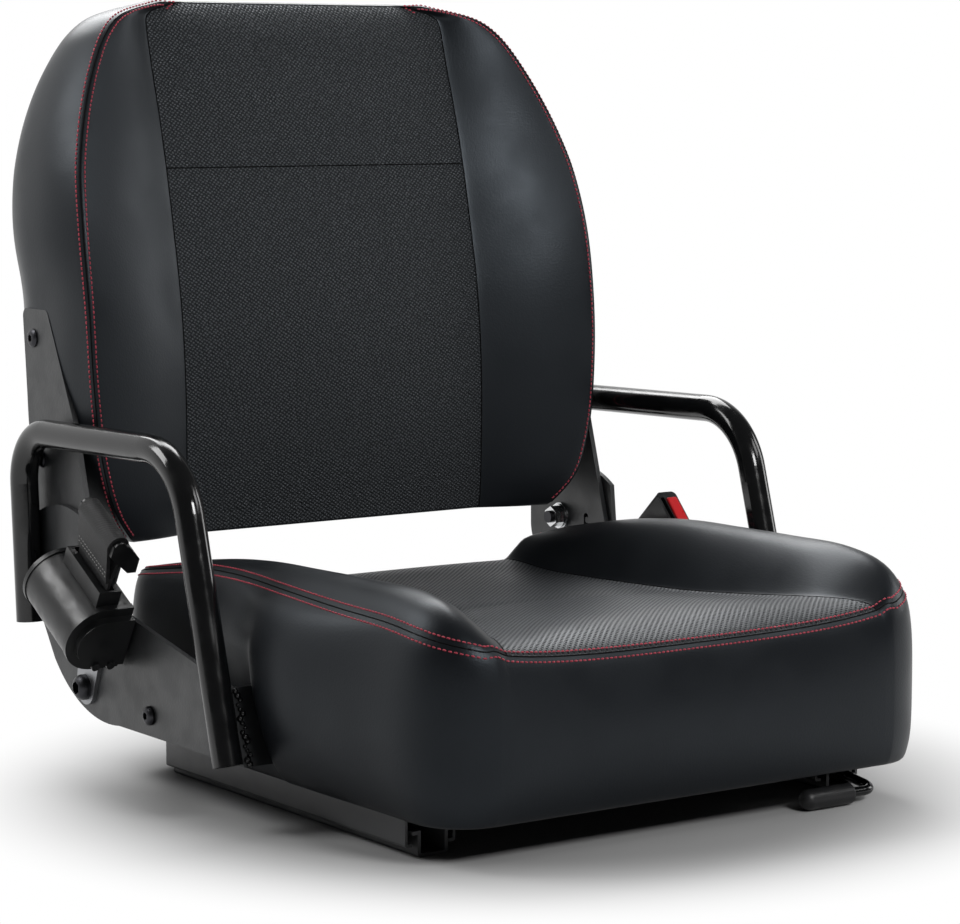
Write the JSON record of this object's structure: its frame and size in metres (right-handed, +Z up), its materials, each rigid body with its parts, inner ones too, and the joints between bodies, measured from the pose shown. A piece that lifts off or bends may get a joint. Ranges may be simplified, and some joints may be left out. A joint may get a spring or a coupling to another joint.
{
  "type": "tractor seat",
  "caption": "Upholstered tractor seat with a tilting backrest, hip-restraint tubes, a retractor lap belt and slide rails with a lever.",
  "frame": {"origin": "centre of the rail bolt pattern, on the underside of the lower rails", "axes": "+Z up, the sitter faces -Y, +X is the sitter's left"},
  "size_m": [0.5513, 0.5742, 0.567],
  "materials": {
    "vinyl": "satin black upholstery vinyl with a fine grain",
    "black_paint": "satin black powder coat",
    "rail_paint": "satin dark grey coating",
    "black_screw": "black oxide",
    "zinc": "bright zinc plate",
    "steel": "plain dark steel",
    "nylon": "natural nylon",
    "black_plastic": "moulded black plastic with a light texture",
    "red_plastic": "moulded red plastic",
    "webbing": "woven black belt webbing",
    "grip_rubber": "black rubber"
  },
  "bodies": {
    "base": {"lower_rail_left": "rail_paint", "lower_rail_right": "rail_paint"},
    "seat": {"seat_cushion": "vinyl", "side_plate_left": "black_paint", "side_plate_right": "black_paint", "hip_tube_left": "black_paint", "hip_tube_right": "black_paint", "cross_member_front": "black_paint", "cross_member_rear": "black_paint", "seat_pan": "black_paint", "rail_spacers": "black_paint", "upper_rail_left": "rail_paint", "upper_rail_right": "rail_paint", "plate_bolts": "black_screw", "pivot_bolts": "black_screw", "retractor_bolt": "black_screw", "pivot_washers": "zinc", "pivot_nuts": "zinc", "rail_bolts": "zinc", "rail_nuts": "zinc", "rail_rivets": "zinc", "plate_nuts": "zinc", "retractor_nut": "zinc", "buckle_anchor_bolt": "zinc", "buckle_anchor_nut": "zinc", "buckle_bush": "zinc", "lever_hangers": "steel", "lever_spring": "steel", "belt_tongue": "steel", "retractor_frame": "steel", "glide_shoes": "nylon", "retractor_cover": "black_plastic", "retractor_lock_cap": "black_plastic", "retractor_spring_cap": "black_plastic", "tongue_cover": "black_plastic", "belt_webbing": "webbing", "retractor_spool": "webbing"},
    "lever": {"lever_rod": "steel", "lever_grip": "grip_rubber", "lock_catch": "steel"},
    "backrest": {"backrest_cushion": "vinyl", "backrest_bracket_left": "black_paint", "backrest_bracket_right": "black_paint", "bracket_bolts": "black_screw"},
    "buckle": {"buckle_stalk": "steel", "stalk_sleeve": "black_plastic", "buckle_housing": "black_plastic"},
    "button": {"buckle_button": "red_plastic"}
  },
  "joints": [
    {"name": "seat_slide", "type": "slide", "parent": "base", "child": "seat", "axis": [0, 1, 0], "range_m": [-0.065, 0.035]},
    {"name": "lever_lift", "type": "hinge", "parent": "seat", "child": "lever", "pos_m": [0.1745, -0.06, 0.013], "axis": [0, 1, 0], "range_deg": [0, 8], "stiffness_Nm_per_rad": 2, "springref_deg": -8.59},
    {"name": "backrest_tilt", "type": "hinge", "parent": "seat", "child": "backrest", "pos_m": [0, 0.25, 0.15], "axis": [1, 0, 0], "range_deg": [-4, 4]},
    {"name": "buckle_swing", "type": "hinge", "parent": "seat", "child": "buckle", "pos_m": [0.2305, 0.167, 0.1], "axis": [1, 0, 0], "range_deg": [-8, 8]},
    {"name": "button_press", "type": "slide", "parent": "buckle", "child": "button", "axis": [0, 0.7337, -0.6794], "range_m": [0, 0.004], "stiffness_N_per_m": 600, "springref_m": -0.002}
  ]
}
